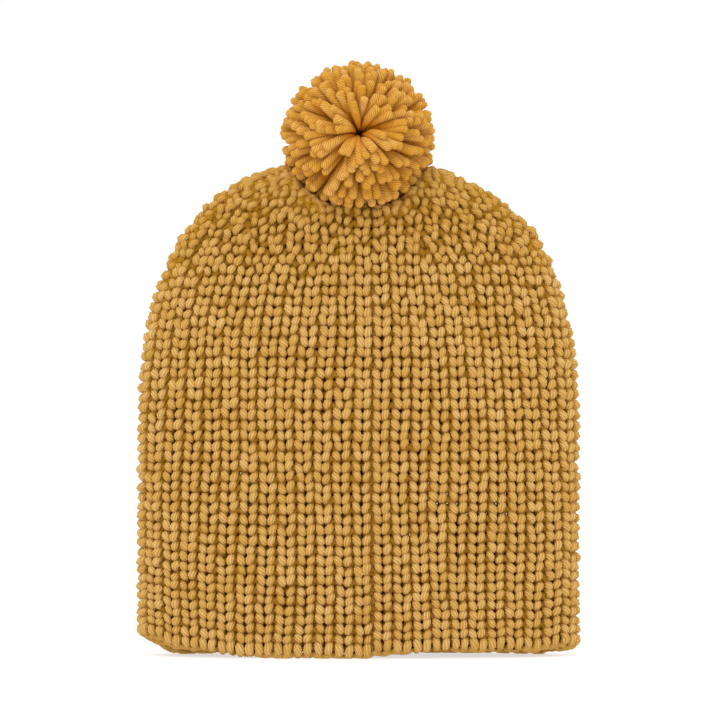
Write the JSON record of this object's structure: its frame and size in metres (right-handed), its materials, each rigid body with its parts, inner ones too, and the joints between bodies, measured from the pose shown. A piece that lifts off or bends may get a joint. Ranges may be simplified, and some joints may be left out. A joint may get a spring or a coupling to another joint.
{
  "type": "knit beanie",
  "caption": "Ribbed knit beanie lying flat, with a seamed front, a gathered crown and a yarn pom-pom tied on so that it can rock and turn.",
  "frame": {"origin": "centre of the head opening, in the plane of the brim", "axes": "+Z runs from the brim up to the pom-pom, -Y is the seamed front, +X runs along the flat width to the viewer's right"},
  "size_m": [0.2305, 0.08, 0.3105],
  "materials": {
    "body_yarn": "matt wool, mustard",
    "seam_yarn": "matt wool, mustard, in shadow",
    "tie_yarn": "matt wool, deep mustard",
    "pom_yarn": "matt wool, golden mustard"
  },
  "bodies": {
    "hat": {"cast_on_edge": "body_yarn", "rib_body": "body_yarn", "crown": "body_yarn", "seam_yarn": "seam_yarn", "gather_cord": "seam_yarn"},
    "tie": {"anchor_tails": "tie_yarn", "inside_knot": "tie_yarn"},
    "knot": {"binding_knot": "tie_yarn"},
    "pom": {"binding_cord": "tie_yarn", "pom_front_strands": "pom_yarn", "pom_back_strands": "pom_yarn"}
  },
  "joints": [
    {"name": "pom_twist", "type": "hinge", "parent": "hat", "child": "tie", "pos_m": [0, 0, 0.27], "axis": [0, 0, 1], "range_deg": [-60, 60], "stiffness_Nm_per_rad": 0.004},
    {"name": "pom_nod", "type": "hinge", "parent": "tie", "child": "knot", "pos_m": [0, 0, 0.27], "axis": [1, 0, 0], "range_deg": [-15, 15], "stiffness_Nm_per_rad": 0.02},
    {"name": "pom_lean", "type": "hinge", "parent": "knot", "child": "pom", "pos_m": [0, 0, 0.27], "axis": [0, 1, 0], "range_deg": [-15, 15], "stiffness_Nm_per_rad": 0.02}
  ]
}
